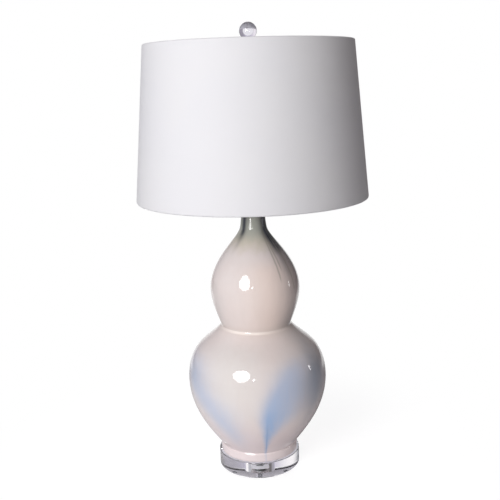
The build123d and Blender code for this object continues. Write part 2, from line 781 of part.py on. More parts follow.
def spider_wires(radius):
    ring = on_shade(shade_slant - roll_radius, roll_radius)
    level = (hub_plate_bottom + hub_plate_top) / 2
    path = FilletPolyline(
        at(spider_hub_radius * 0.8, level), at(ring.X - spider_bend_run, level), ring,
        radius=spider_bend_radius)
    section = Plane(origin=path @ 0, z_dir=path % 0) * Circle(radius)
    wire = sweep(section, path)
    turn = 360 / spider_arm_count
    return Compound(children=[Rot(0, 0, 90 + turn * i) * wire for i in range(spider_arm_count)])


def spider_arms():
    hub = cylinder_at(spider_hub_radius, hub_plate_bottom - 2 * spider_wire_radius,
                      hub_plate_top + 2 * spider_wire_radius)
    arms = spider_wires(spider_wire_radius)
    return Compound(children=[arm - hub - top_ring() for arm in arms.solids()])


# ---------------------------------------------------------------- finial
def ball():
    return Pos(0, 0, ball_centre) * Sphere(ball_radius)


def finial_base():
    bore = stud_thread_radius + running_clearance
    cup_top = ball_centre - math.sqrt(ball_radius ** 2 - finial_cup_radius ** 2)
    stem_bottom = hub_plate_top + finial_flange_height
    stem_top = ball_centre - ball_radius - 1.0
    bore_top = hub_plate_top + finial_bore_depth
    flare = ThreePointArc(
        at(finial_stem_radius, stem_top - 3), at(finial_stem_radius + 1.0, stem_top + 1.0),
        at(finial_cup_radius, cup_top))
    outline = Polyline(
        at(finial_cup_radius, cup_top), at(0, cup_top), at(0, bore_top), at(bore, bore_top),
        at(bore, hub_plate_top), at(finial_flange_radius, hub_plate_top),
        at(finial_flange_radius, stem_bottom), at(finial_stem_radius, stem_bottom + 0.8),
        at(finial_stem_radius, stem_top - 3))
    return turned(flare, outline) - ball()


def finial_ball():
    return ball()


pieces = {
    "foot_pads": foot_pads,
    "acrylic_base": acrylic_base,
    "base_washer": base_washer,
    "lock_washer": lock_washer,
    "base_nut": base_nut,
    "lamp_pipe": lamp_pipe,
    "gourd_body": gourd_body,
    "cord_bushing": cord_bushing,
    "vase_cap": vase_cap,
    "neck_spacer": neck_spacer,
    "harp_saddle": harp_saddle,
    "saddle_nut": saddle_nut,
    "socket_cap": socket_cap,
    "cap_set_screw": cap_set_screw,
    "socket_shell": socket_shell,
    "socket_liner": socket_liner,
    "socket_core": socket_core,
    "screw_shell": screw_shell,
    "center_contact": center_contact,
    "terminal_screws": terminal_screws,
    "switch_shaft": switch_shaft,
    "switch_knob": switch_knob,
    "bulb_contact": bulb_contact,
    "bulb_insulator": bulb_insulator,
    "bulb_base": bulb_base,
    "bulb_glass": bulb_glass,
    "harp_wire": harp_wire,
    "harp_boss": harp_boss,
    "harp_sleeve_left": lambda: harp_sleeve(-1),
    "harp_sleeve_right": lambda: harp_sleeve(1),
    "harp_stud": harp_stud,
    "spider_hub": spider_hub,
    "spider_arms": spider_arms,
    "top_ring": top_ring,
    "bottom_ring": bottom_ring,
    "shade_liner": shade_liner,
    "shade_fabric": shade_fabric,
    "finial_base": finial_base,
    "finial_ball": finial_ball,
}

os.makedirs("parts", exist_ok=True)
for node, make in pieces.items():
    save(make(), node)
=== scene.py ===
import math

import bmesh
import bpy
from mathutils import Matrix, Vector


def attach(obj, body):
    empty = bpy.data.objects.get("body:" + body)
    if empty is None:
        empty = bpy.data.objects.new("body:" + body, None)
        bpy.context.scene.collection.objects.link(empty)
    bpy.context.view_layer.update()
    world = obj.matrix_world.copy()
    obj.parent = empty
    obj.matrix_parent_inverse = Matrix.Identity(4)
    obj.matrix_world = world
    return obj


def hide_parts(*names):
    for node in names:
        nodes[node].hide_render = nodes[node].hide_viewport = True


# Table lamp with a glazed double gourd body on a clear disc, a white linen drum
# shade and a clear ball finial. Metres, +Z up, -Y is the front.

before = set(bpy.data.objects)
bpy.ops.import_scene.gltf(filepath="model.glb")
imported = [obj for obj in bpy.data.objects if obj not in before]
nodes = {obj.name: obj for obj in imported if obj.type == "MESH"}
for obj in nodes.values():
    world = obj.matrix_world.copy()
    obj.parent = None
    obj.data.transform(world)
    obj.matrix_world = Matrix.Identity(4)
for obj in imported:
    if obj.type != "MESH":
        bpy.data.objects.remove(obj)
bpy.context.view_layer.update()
scene = bpy.context.scene

MM = 0.001

# ------------------------------------------------------------------ sizes used again here, in metres
SHADE_BOTTOM = 534.5 * MM
SHADE_TOP = 817.5 * MM
SHADE_BOTTOM_RADIUS = 215.9 * MM
SHADE_TOP_RADIUS = 190.5 * MM
CLOTH = 0.6 * MM
LINER = 0.8 * MM
RING_WIRE = 1.5 * MM
ROLL = CLOTH + LINER + RING_WIRE
HUB_LEVEL = 807.9 * MM
SHADE_SLANT = math.hypot(SHADE_BOTTOM_RADIUS - SHADE_TOP_RADIUS, SHADE_TOP - SHADE_BOTTOM)
SEAM_WIDTH = 11.0 * MM
LAP = 0.5 * MM
ARM_BEARINGS = (90.0, 210.0, 330.0)
ARM_BEND_RUN = 14.0 * MM
NOTCH_RADIUS = 1.8 * MM

# millimetres above the ground between which the glaze's curves run
GLAZE_LOW = 33.0
GLAZE_HIGH = 513.0
# radius in millimetres at which the weaves are laid round the shade
WEAVE_RADIUS = 203.0
# distance in millimetres from thread to thread of the linen
THREAD_PITCH = 0.62


# ------------------------------------------------------------------ node helper
class Graph:
    """The node tree of one material. Numbers, colours and sockets can be fed in alike."""

    def __init__(self, tree):
        self.tree = tree
        tree.nodes.clear()

    def feed(self, socket, value):
        if isinstance(value, bpy.types.NodeSocket):
            self.tree.links.new(value, socket)
        elif value is not None:
            socket.default_value = value

    def node(self, kind, inputs=None, **settings):
        node = self.tree.nodes.new(kind)
        for key, value in settings.items():
            setattr(node, key, value)
        for key, value in (inputs or {}).items():
            self.feed(node.inputs[key], value)
        return node

    def math(self, operation, a, b=None, c=None):
        return self.node("ShaderNodeMath", {0: a, 1: b, 2: c}, operation=operation).outputs[0]

    def add(self, a, b):
        return self.math("ADD", a, b)

    def sub(self, a, b):
        return self.math("SUBTRACT", a, b)

    def mul(self, a, b):
        return self.math("MULTIPLY", a, b)

    def span(self, value, start, end, low=0.0, high=1.0, smooth=True):
        """low at start and before, high at end and after, and a smooth or straight way between."""
        kind = "SMOOTHSTEP" if smooth else "LINEAR"
        inputs = {0: value, 1: start, 2: end, 3: low, 4: high}
        return self.node("ShaderNodeMapRange", inputs, interpolation_type=kind).outputs[0]

    def mix(self, factor, a, b):
        return self.node("ShaderNodeMix", {0: factor, 6: a, 7: b}, data_type="RGBA").outputs[2]

    def place(self):
        return self.node("ShaderNodeTexCoord").outputs["Object"]

    def split(self, vector):
        return self.node("ShaderNodeSeparateXYZ", {0: vector}).outputs

    def join(self, x, y, z):
        return self.node("ShaderNodeCombineXYZ", {0: x, 1: y, 2: z}).outputs[0]

    def stretch(self, vector, x, y, z):
        inputs = {0: vector, 1: (x, y, z)}
        return self.node("ShaderNodeVectorMath", inputs, operation="MULTIPLY").outputs[0]

    def noise(self, vector, scale, detail=3.0, roughness=0.5, distortion=0.0):
        inputs = {
            "Vector": vector, "Scale": scale, "Detail": detail, "Roughness": roughness,
            "Distortion": distortion}
        return self.node("ShaderNodeTexNoise", inputs).outputs["Fac"]

    def specks(self, vector, scale):
        return self.node("ShaderNodeTexVoronoi", {"Vector": vector, "Scale": scale}).outputs["Distance"]

    def curve(self, value, points, start, end, low, high):
        """Smooth curve through (value, result) points, between start and end, low and high."""
        node = self.node("ShaderNodeFloatCurve")
        curve = node.mapping.curves[0]
        spots = [((x - start) / (end - start), (y - low) / (high - low)) for x, y in sorted(points)]
        curve.points[0].location = spots[0]
        curve.points[-1].location = spots[-1]
        for spot in spots[1:-1]:
            curve.points.new(*spot)
        node.mapping.extend = "HORIZONTAL"
        node.mapping.use_clip = False
        node.mapping.update()
        share = self.span(value, start, end, smooth=False)
        self.feed(node.inputs["Value"], share)
        return self.span(node.outputs[0], 0.0, 1.0, low, high, smooth=False)

    def bump(self, height, distance, strength=1.0, normal=None):
        inputs = {"Height": height, "Distance": distance, "Strength": strength, "Normal": normal}
        return self.node("ShaderNodeBump", inputs).outputs[0]

    def shader(self, **inputs):
        sockets = {key.replace("_", " "): value for key, value in inputs.items()}
        return self.node("ShaderNodeBsdfPrincipled", sockets).outputs[0]

    def end(self, surface):
        self.node("ShaderNodeOutputMaterial", {"Surface": surface})


def material(name):
    made = bpy.data.materials.new(name)
    made.use_nodes = True
    return made, Graph(made.node_tree)


def angle_and_height(g):
    """Degrees round the lamp from the front, growing to the right, and millimetres above the ground."""
    x, y, z = g.split(g.place())
    turn = g.math("DEGREES", g.math("ARCTAN2", x, g.mul(y, -1.0)))
    return turn, g.mul(z, 1000.0)


def rgb(red, green, blue):
    """Linear colour of a screen colour from 0 to 255."""
    def straight(value):
        value /= 255
        return value / 12.92 if value <= 0.04045 else ((value + 0.055) / 1.055) ** 2.4
    return straight(red), straight(green), straight(blue), 1.0


# ------------------------------------------------------------------ glaze
# dark runs down the neck: middle, half width and strength of each, over the height
NECK_RUNS = (
    ([(33, -46), (450, -46), (490, -45), (513, -45)],
     [(33, 6), (440, 6), (465, 12), (490, 16), (513, 19)],
     [(33, 0.0), (428, 0.0), (450, 0.2), (466, 0.6), (480, 0.95), (513, 1.0)]),
    ([(33, 54), (400, 54), (450, 58), (470, 54), (513, 51)],
     [(33, 4), (390, 5), (420, 9), (445, 15), (465, 21), (485, 26), (513, 28)],
     [(33, 0.0), (370, 0.0), (400, 0.2), (425, 0.4), (442, 0.8), (456, 1.0), (513, 1.0)]),
    ([(33, 88), (513, 88)],
     [(33, 10), (380, 14), (430, 22), (513, 26)],
     [(33, 0.0), (350, 0.0), (400, 0.35), (430, 0.6), (455, 1.0), (513, 1.0)]),
    ([(33, 150), (400, 150), (513, 140)],
     [(33, 5), (400, 6), (450, 12), (513, 22)],
     [(33, 0.0), (390, 0.0), (430, 0.5), (470, 0.9), (513, 1.0)]),
    ([(33, -140), (400, -140), (513, -128)],
     [(33, 5), (400, 6), (450, 12), (513, 24)],
     [(33, 0.0), (380, 0.0), (430, 0.6), (470, 0.9), (513, 1.0)]),
)
# thin drips below the neck's dip: bearing and lowest height of each
DRIPS = ((36.5, 386.0), (42.5, 404.0), (59.0, 366.0), (-104.0, 380.0), (170.0, 392.0))


def run_mask(g, turn, height, centre, width, strength, wobble, right_width=None):
    """A run of glaze: its middle, half width and strength follow curves over the height."""
    middle = g.curve(height, centre, GLAZE_LOW, GLAZE_HIGH, -180.0, 180.0)
    half = g.curve(height, width, GLAZE_LOW, GLAZE_HIGH, 0.0, 60.0)
    power = g.curve(height, strength, GLAZE_LOW, GLAZE_HIGH, 0.0, 1.0)
    away = g.math("WRAP", g.sub(g.add(turn, wobble), middle), 180.0, -180.0)
    if right_width:
        right_half = g.curve(height, right_width, GLAZE_LOW, GLAZE_HIGH, 0.0, 60.0)
        rightward = g.math("GREATER_THAN", away, 0.0)
        half = g.add(g.mul(half, g.sub(1.0, rightward)), g.mul(right_half, rightward))
    ratio = g.math("DIVIDE", away, half)
    fall = g.math("EXPONENT", g.mul(g.mul(ratio, ratio), -1.0))
    return g.mul(fall, power)


def ground_tones(g, turn, height, place, wobble, gentle):
    """Pink ground of the glaze, cooler and warmer by place, with painted shade on the upper bulb's right."""
    broad = g.noise(place, 9.0, 2.0, 0.5)
    pink = rgb(220, 208, 204)
    ivory = rgb(216, 210, 206)
    peach = rgb(231, 212, 202)
    mauve = rgb(214, 200, 201)
    colour = g.mix(g.span(broad, 0.38, 0.66), pink, rgb(218, 209, 206))
    # cooler ivory on the front of the lower belly, mauve toward its foot, warmer on the upper bulb's right
    left_side = run_mask(
        g, turn, height, [(33, -26), (513, -26)], [(33, 28), (513, 28)],
        [(33, 0.0), (110, 0.1), (160, 0.7), (235, 0.9), (275, 0.2), (300, 0.0), (513, 0.0)], gentle)
    colour = g.mix(left_side, colour, ivory)
    colour = g.mix(g.span(height, 150.0, 78.0, 0.0, 0.85), colour, mauve)
    right_side = run_mask(
        g, turn, height, [(33, 24), (513, 24)], [(33, 34), (513, 34)],
        [(33, 0.0), (270, 0.1), (320, 0.8), (400, 0.8), (440, 0.0), (513, 0.0)], gentle)
    colour = g.mix(right_side, colour, peach)
    # painted shade: the upper bulb's right painted a cooler, darker brown where it turns away from the light
    upper_right_shade = run_mask(
        g, turn, height, [(33, 66), (513, 66)], [(33, 26), (513, 26)],
        [(33, 0.0), (280, 0.0), (306, 0.35), (350, 0.5), (380, 0.7), (410, 0.6), (440, 0.3), (513, 0.0)],
        wobble)
    colour = g.mix(upper_right_shade, colour, rgb(176, 164, 162))
    return colour


def belly_runs(g, colour, turn, height, swirl, wobble, gentle):
    """Blue runs on the lower belly, which thin out unevenly at their tops."""
    leaning = g.add(height, g.add(g.mul(g.sub(swirl, 0.5), 40.0), g.mul(g.sub(turn, 40.0), -0.45)))
    blue = rgb(156, 178, 210)
    lavender = rgb(188, 194, 210)
    middle_run = run_mask(
        g, turn, height,
        [(33, 9.8), (60, 9.2), (80, 8.6), (110, 8.0), (135, 8.0), (165, 10.5), (195, 17.0), (225, 27.0),
         (250, 36.0), (513, 36.0)],
        [(33, 1.5), (60, 2.0), (80, 3.0), (110, 4.6), (135, 6.0), (165, 8.0), (200, 10.0), (240, 14.0),
         (513, 14.0)],
        [(33, 0.35), (60, 0.5), (80, 0.7), (105, 0.95), (135, 1.0), (165, 0.85), (195, 0.75), (225, 0.6),
         (245, 0.25), (265, 0.0), (513, 0.0)],
        gentle,
        [(33, 1.5), (60, 2.0), (80, 3.4), (110, 9.0), (135, 17.0), (165, 27.0), (200, 32.0), (240, 20.0),
         (513, 20.0)])
    left_run = run_mask(
        g, turn, height,
        [(33, -22.0), (75, -24.5), (105, -28.0), (135, -34.0), (165, -45.0), (195, -60.0), (225, -67.0),
         (513, -70.0)],
        [(33, 8.0), (105, 12.0), (135, 15.0), (165, 20.0), (210, 21.0), (513, 21.0)],
        [(33, 0.0), (60, 0.1), (80, 0.4), (105, 0.75), (135, 0.95), (200, 1.0), (225, 0.75), (243, 0.35),
         (265, 0.0), (513, 0.0)],
        gentle)
    colour = g.mix(left_run, colour, lavender)
    colour = g.mix(middle_run, colour, blue)
    # the thread that runs on down from it, over the foot
    core = run_mask(
        g, turn, height, [(33, 9.9), (60, 9.4), (85, 8.2), (110, 7.8), (513, 7.8)], [(33, 0.9), (513, 0.9)],
        [(33, 0.4), (60, 0.8), (100, 0.8), (125, 0.4), (150, 0.0), (513, 0.0)], g.mul(wobble, 0.08))
    colour = g.mix(core, colour, rgb(146, 166, 200))
    slate = run_mask(
        g, turn, leaning, [(33, 56), (200, 57), (260, 62), (513, 62)],
        [(33, 10), (120, 16), (190, 19), (240, 14), (513, 14)],
        [(33, 0.0), (90, 0.1), (135, 0.4), (175, 0.72), (205, 0.8), (228, 0.6), (250, 0.25), (278, 0.0),
         (513, 0.0)], gentle)
    colour = g.mix(slate, colour, rgb(138, 148, 163))

    # more runs round the back, in the same manner
    for middle, tint, power in ((118.0, blue, 0.8), (176.0, lavender, 0.9), (-128.0, blue, 0.85)):
        mask = run_mask(
            g, turn, height,
            [(33, middle), (110, middle), (190, middle + 9), (260, middle + 22), (513, middle + 22)],
            [(33, 1.8), (80, 3.0), (130, 6.0), (190, 9.0), (250, 14.0), (513, 14.0)],
            [(33, 0.3), (70, 0.6), (130, 1.0), (190, 0.75), (230, 0.4), (265, 0.0), (513, 0.0)], gentle,
            [(33, 1.8), (80, 3.4), (130, 10.0), (190, 22.0), (250, 22.0), (513, 22.0)])
        colour = g.mix(g.mul(mask, power), colour, tint)
    return colour


def neck_dip(g, colour, turn, height, swirl, threads, wobble):
    """Olive dip of the neck, warmer where it thins out, with dark runs and drips."""
    uneven = g.add(height, g.add(g.mul(g.sub(swirl, 0.5), 26.0), g.mul(g.sub(threads, 0.5), 22.0)))
    dip = g.span(uneven, 452.0, 480.0)
    tan = g.span(uneven, 434.0, 462.0)
    colour = g.mix(g.mul(tan, 0.8), colour, rgb(206, 199, 180))
    colour = g.mix(g.mul(dip, 0.9), colour, rgb(188, 191, 180))
    dark = rgb(52, 56, 67)
    neck_wobble = g.mul(wobble, 0.7)
    for centre, width, strength in NECK_RUNS:
        colour = g.mix(run_mask(g, turn, height, centre, width, strength, neck_wobble), colour, dark)
    # thin olive drips below the dip
    for centre, start in DRIPS:
        drip = run_mask(
            g, turn, height, [(33, centre), (start, centre), (450, centre - 1.5), (513, centre - 3)],
            [(33, 0.9), (start, 0.9), (430, 1.8), (513, 2.8)],
            [(33, 0.0), (start - 6, 0.0), (start + 8, 0.5), (430, 0.6), (460, 0.3), (513, 0.0)],
            g.mul(wobble, 0.2))
        colour = g.mix(drip, colour, rgb(146, 141, 128))
    return colour


def glaze():
    made, g = material("glaze")
    turn, height = angle_and_height(g)
    place = g.place()
    # threads of glaze that ran down: fine across, long up and down
    threads = g.noise(g.stretch(place, 1.0, 1.0, 0.10), 95.0, 4.0, 0.6)
    swirl = g.noise(g.stretch(place, 1.0, 1.0, 0.45), 17.0, 4.0, 0.55, 0.4)
    wobble = g.add(g.mul(g.sub(swirl, 0.5), 16.0), g.mul(g.sub(threads, 0.5), 9.0))
    gentle = g.mul(wobble, 0.35)
    colour = ground_tones(g, turn, height, place, wobble, gentle)
    colour = belly_runs(g, colour, turn, height, swirl, wobble, gentle)
    colour = neck_dip(g, colour, turn, height, swirl, threads, wobble)

    # faint threads everywhere, glaze that pools darker in the crease, a painted highlight along the crease,
    # and the foot band painted lighter for the light its upright face catches
    colour = g.mix(g.mul(g.span(threads, 0.35, 0.75), 0.10), colour, rgb(206, 190, 182))
    pool = g.mul(g.span(height, 276.0, 290.0), g.span(height, 306.0, 291.0))
    colour = g.mix(g.mul(pool, 0.25), colour, rgb(205, 190, 178))
    # painted highlight: a light line along the waist crease, strongest toward the front
    crease_highlight = g.mul(g.span(height, 286.0, 288.5), g.span(height, 292.5, 290.5))
    in_front = g.mul(g.span(turn, -62.0, -28.0, 0.25, 0.8), g.span(turn, 34.0, 0.0, 0.3, 1.0))
    colour = g.mix(g.mul(crease_highlight, in_front), colour, rgb(244, 234, 226))
    # painted light: the foot band painted lighter, standing in for the light its upright face catches
    foot = g.mul(g.span(height, 52.5, 49.5), g.span(height, 32.0, 35.0))
    colour = g.mix(g.mul(foot, 0.6), colour, rgb(226, 214, 213))

    # small pinholes, and the slow waviness of a hand-dipped glaze
    waves = g.noise(g.stretch(place, 1.0, 1.0, 0.6), 11.0, 2.0, 0.45)
    ripple = g.noise(g.stretch(place, 1.0, 1.0, 0.5), 46.0, 2.0, 0.4)
    holes = g.span(g.specks(place, 150.0), 0.02, 0.07)
    sparse = g.span(g.noise(place, 14.0, 1.0), 0.58, 0.62)
    pits = g.math("MAXIMUM", holes, g.sub(1.0, sparse))
    normal = g.bump(waves, 0.0035, 0.35)
    normal = g.bump(ripple, 0.0005, 0.25, normal)
    normal = g.bump(pits, 0.00025, 0.4, normal)
    rough = g.span(g.noise(place, 30.0, 3.0), 0.3, 0.75, 0.05, 0.10)
    g.end(g.shader(Base_Color=colour, Roughness=rough, IOR=1.5, Normal=normal))
    return made


# ------------------------------------------------------------------ cloth, card and plastic
def round_shade(g):
    """Millimetres round the shade and up it, for weaves."""
    x, y, z = g.split(g.place())
    turn = g.math("ARCTAN2", x, g.mul(y, -1.0))
    return g.mul(turn, WEAVE_RADIUS), g.mul(z, 1000.0)


def linen():
    made, g = material("linen")
    around, up = round_shade(g)
    place = g.place()
    # threads wander a little, and some are thicker than others
    drift_up = g.mul(g.sub(g.noise(g.join(g.mul(around, 0.02), up, 0.0), 0.35, 2.0), 0.5), 0.5)
    drift_round = g.mul(g.sub(g.noise(g.join(around, g.mul(up, 0.02), 5.0), 0.35, 2.0), 0.5), 0.5)
    warp_phase = g.mul(g.add(around, drift_up), math.pi / THREAD_PITCH)
    weft_phase = g.mul(g.add(up, drift_round), math.pi / THREAD_PITCH)
    warp = g.math("ABSOLUTE", g.math("SINE", warp_phase))
    weft = g.math("ABSOLUTE", g.math("SINE", weft_phase))
    over = g.mul(g.math("SINE", warp_phase), g.math("SINE", weft_phase))
    weave = g.add(g.mul(g.math("MAXIMUM", warp, weft), 0.7), g.mul(over, 0.3))
    slub_round = g.noise(g.join(g.mul(around, 0.045), g.mul(up, 1.4), 0.0), 1.0, 3.0, 0.6)
    slub_up = g.noise(g.join(g.mul(around, 1.4), g.mul(up, 0.045), 9.0), 1.0, 3.0, 0.6)
    slubs = g.math("MAXIMUM", slub_round, slub_up)
    tone = g.noise(place, 7.0, 2.0)
    colour = g.mix(g.span(slubs, 0.5, 0.85), rgb(240, 239, 240), rgb(231, 230, 231))
    colour = g.mix(g.mul(g.span(weave, 0.2, 0.9), 0.35), rgb(226, 225, 228), colour)
    colour = g.mix(g.mul(g.span(tone, 0.35, 0.7), 0.2), colour, rgb(236, 234, 232))
    normal = g.bump(weave, 0.00022, 0.5)
    normal = g.bump(slubs, 0.0005, 0.35, normal)
    surface = g.shader(
        Base_Color=colour, Roughness=0.85, Specular_IOR_Level=0.25, Sheen_Weight=0.12, Sheen_Roughness=0.5,
        Normal=normal)
    through = g.node("ShaderNodeBsdfTranslucent", {"Color": colour, "Normal": normal}).outputs[0]
    g.end(g.node("ShaderNodeMixShader", {0: 0.12, 1: surface, 2: through}).outputs[0])
    return made


def styrene():
    made, g = material("styrene")
    place = g.place()
    tone = g.noise(place, 9.0, 3.0)
    grain = g.noise(place, 900.0, 2.0)
    colour = g.mix(g.span(tone, 0.35, 0.7), rgb(238, 238, 241), rgb(231, 231, 235))
    normal = g.bump(grain, 0.0001, 0.3)
    surface = g.shader(Base_Color=colour, Roughness=g.span(tone, 0.3, 0.7, 0.32, 0.45), Normal=normal)
    through = g.node("ShaderNodeBsdfTranslucent", {"Color": colour}).outputs[0]
    g.end(g.node("ShaderNodeMixShader", {0: 0.2, 1: surface, 2: through}).outputs[0])
    return made


def plain(name, light, dark, grain_scale, grain, rough):
    """Moulded or painted surface: blotches of two close tones over a fine grain."""
    made, g = material(name)
    place = g.place()
    tone = g.noise(place, grain_scale * 0.08, 3.0)
    fine = g.noise(place, grain_scale, 3.0, 0.6)
    colour = g.mix(g.span(tone, 0.35, 0.68), light, dark)
    colour = g.mix(g.mul(g.span(fine, 0.4, 0.8), grain), colour, dark)
    normal = g.bump(fine, 0.0001, 0.5)
    low, high = rough
    g.end(g.shader(Base_Color=colour, Roughness=g.span(fine, 0.3, 0.75, low, high), Normal=normal))
    return made


def metal(name, light, dark, rough, brush=(1.0, 1.0, 1.0), height=0.00003):
    """Metal with faint marks drawn out along the directions with a small brush share."""
    made, g = material(name)
    place = g.place()
    marks = g.noise(g.stretch(place, *brush), 1400.0, 3.0, 0.6)
    cloud = g.noise(place, 60.0, 3.0)
    handled = g.noise(place, 220.0, 4.0, 0.65)
    colour = g.mix(g.span(cloud, 0.35, 0.7), light, dark)
    low, high = rough
    rough_map = g.add(g.span(handled, 0.3, 0.75, low, high), g.mul(g.span(marks, 0.5, 0.9), 0.08))
    normal = g.bump(marks, height, 0.4)
    g.end(g.shader(Base_Color=colour, Metallic=1.0, Roughness=rough_map, Normal=normal))
    return made


def acrylic(name, light, deep):
    """Clear cast acrylic: smooth, with a trace of hairline marks."""
    made, g = material(name)
    place = g.place()
    lines = g.noise(g.stretch(place, 1.0, 0.12, 1.0), 420.0, 2.0, 0.6)
    cloud = g.noise(place, 40.0, 2.0)
    rough = g.mul(g.span(lines, 0.62, 0.8), g.span(cloud, 0.4, 0.7, 0.0, 0.03))
    normal = g.bump(cloud, 0.00004, 0.3)
    tint = g.mix(g.span(cloud, 0.3, 0.7), light, deep)
    body = g.shader(Base_Color=tint, Roughness=rough, IOR=1.49, Transmission_Weight=1.0, Normal=normal)
    # most of the light that meets it goes on to what lies behind
    clear = g.node("ShaderNodeBsdfTransparent", {"Color": (0.86, 0.86, 0.88, 1.0)}).outputs[0]
    shade_ray = g.node("ShaderNodeLightPath").outputs["Is Shadow Ray"]
    g.end(g.node("ShaderNodeMixShader", {0: shade_ray, 1: body, 2: clear}).outputs[0])
    return made


def clear_rubber():
    """Soft clear bumper, a little cloudy."""
    made, g = material("clear_rubber")
    place = g.place()
    cloud = g.noise(place, 300.0, 3.0)
    tint = g.mix(g.span(cloud, 0.3, 0.7), rgb(238, 238, 240), rgb(226, 226, 230))
    rough = g.span(cloud, 0.3, 0.7, 0.12, 0.25)
    normal = g.bump(cloud, 0.0001, 0.3)
    body = g.shader(Base_Color=tint, Roughness=rough, IOR=1.45, Transmission_Weight=0.8, Normal=normal)
    clear = g.node("ShaderNodeBsdfTransparent", {"Color": (0.8, 0.8, 0.82, 1.0)}).outputs[0]
    shade_ray = g.node("ShaderNodeLightPath").outputs["Is Shadow Ray"]
    g.end(g.node("ShaderNodeMixShader", {0: shade_ray, 1: body, 2: clear}).outputs[0])
    return made


def frosted_glass():
    """Bulb glass with a white coating inside, so that it scatters what it lets through."""
    made, g = material("frosted_glass")
    place = g.place()
    cloud = g.noise(place, 90.0, 3.0)
    coat = g.mix(g.span(cloud, 0.35, 0.7), rgb(246, 246, 244), rgb(238, 238, 236))
    surface = g.shader(
        Base_Color=coat, Roughness=g.span(cloud, 0.3, 0.7, 0.22, 0.32), IOR=1.5, Transmission_Weight=0.25,
        Normal=g.bump(cloud, 0.00005, 0.2))
    through = g.node("ShaderNodeBsdfTranslucent", {"Color": coat}).outputs[0]
    g.end(g.node("ShaderNodeMixShader", {0: 0.35, 1: surface, 2: through}).outputs[0])
    return made


def card():
    """Pressed insulating card: fibres and specks."""
    made, g = material("insulating_card")
    place = g.place()
    fibre = g.noise(g.stretch(place, 1.0, 1.0, 3.0), 600.0, 4.0, 0.7, 1.0)
    speck = g.span(g.specks(place, 900.0), 0.12, 0.3)
    colour = g.mix(g.span(fibre, 0.35, 0.7), rgb(184, 150, 112), rgb(150, 116, 82))
    colour = g.mix(g.mul(g.sub(1.0, speck), 0.5), colour, rgb(96, 72, 52))
    g.end(g.shader(Base_Color=colour, Roughness=0.8, Normal=g.bump(fibre, 0.0002, 0.5)))
    return made


finishes = {
    "glaze": glaze(),
    "linen": linen(),
    "styrene": styrene(),
    "clear_acrylic": acrylic("clear_acrylic", (0.985, 0.99, 0.995, 1.0), (0.97, 0.975, 0.99, 1.0)),
    # the ball is clear acrylic; its lavender grey tint is painted, standing in for the room seen through it
    "room_tinted_acrylic": acrylic("room_tinted_acrylic", (0.84, 0.825, 0.88, 1.0), (0.80, 0.785, 0.845, 1.0)),
    "frosted_glass": frosted_glass(),
    "insulating_card": card(),
    "nickel": metal("nickel", rgb(214, 212, 206), rgb(196, 193, 186), (0.16, 0.28)),
    "zinc_steel": metal("zinc_steel", rgb(190, 192, 192), rgb(150, 152, 152), (0.28, 0.45), (1.0, 1.0, 0.2)),
    "brass": metal("brass", rgb(214, 178, 104), rgb(184, 146, 78), (0.22, 0.38)),
    "bulb_aluminium": metal("bulb_aluminium", rgb(206, 206, 208), rgb(180, 180, 182), (0.25, 0.4)),
    "solder": metal("solder", rgb(176, 176, 178), rgb(140, 140, 144), (0.35, 0.55), height=0.0001),
    "clear_rubber": clear_rubber(),
    "bushing_plastic": plain(
        "bushing_plastic", rgb(226, 220, 210), rgb(212, 204, 192), 700.0, 0.3, (0.3, 0.45)),
    "phenolic": plain("phenolic", rgb(70, 46, 36), rgb(44, 28, 22), 900.0, 0.5, (0.3, 0.5)),
    "knob_plastic": plain("knob_plastic", rgb(46, 40, 38), rgb(28, 24, 23), 800.0, 0.4, (0.25, 0.4)),
    "black_glass": plain("black_glass", rgb(22, 22, 26), rgb(12, 12, 14), 400.0, 0.3, (0.08, 0.16)),
    "white_wire": plain("white_wire", rgb(236, 235, 232), rgb(226, 225, 220), 1100.0, 0.2, (0.3, 0.42)),
}
slots_of = {
    "clear_rubber": ["foot_pads"],
    "clear_acrylic": ["acrylic_base"],
    "room_tinted_acrylic": ["finial_ball"],
    "zinc_steel": ["base_washer", "lock_washer", "base_nut", "lamp_pipe", "cap_set_screw", "switch_shaft"],
    "glaze": ["gourd_body"],
    "bushing_plastic": ["cord_bushing"],
    "nickel": ["vase_cap", "neck_spacer", "harp_saddle", "saddle_nut", "socket_cap", "socket_shell",
               "harp_wire", "harp_boss", "harp_sleeve_left", "harp_sleeve_right", "harp_stud", "finial_base"],
    "insulating_card": ["socket_liner"],
    "phenolic": ["socket_core"],
    "brass": ["screw_shell", "center_contact", "terminal_screws"],
    "knob_plastic": ["switch_knob"],
    "solder": ["bulb_contact"],
    "black_glass": ["bulb_insulator"],
    "bulb_aluminium": ["bulb_base"],
    "frosted_glass": ["bulb_glass"],
    "white_wire": ["spider_hub", "spider_arms", "top_ring", "bottom_ring"],
    "styrene": ["shade_liner"],
    "linen": ["shade_fabric"],
}


def give(obj, name):
    obj.data.materials.clear()
    obj.data.materials.append(finishes[name])


for slot_name, members in slots_of.items():
    for member in members:
        give(nodes[member], slot_name)


def smooth(obj, degrees=35.0):
    """Rounded faces shade smoothly, and edges sharper than the angle stay crisp."""
    mesh = obj.data
    mesh.shade_smooth()
    mesh.set_sharp_from_angle(angle=math.radians(degrees))


for node in nodes.values():
    smooth(node)


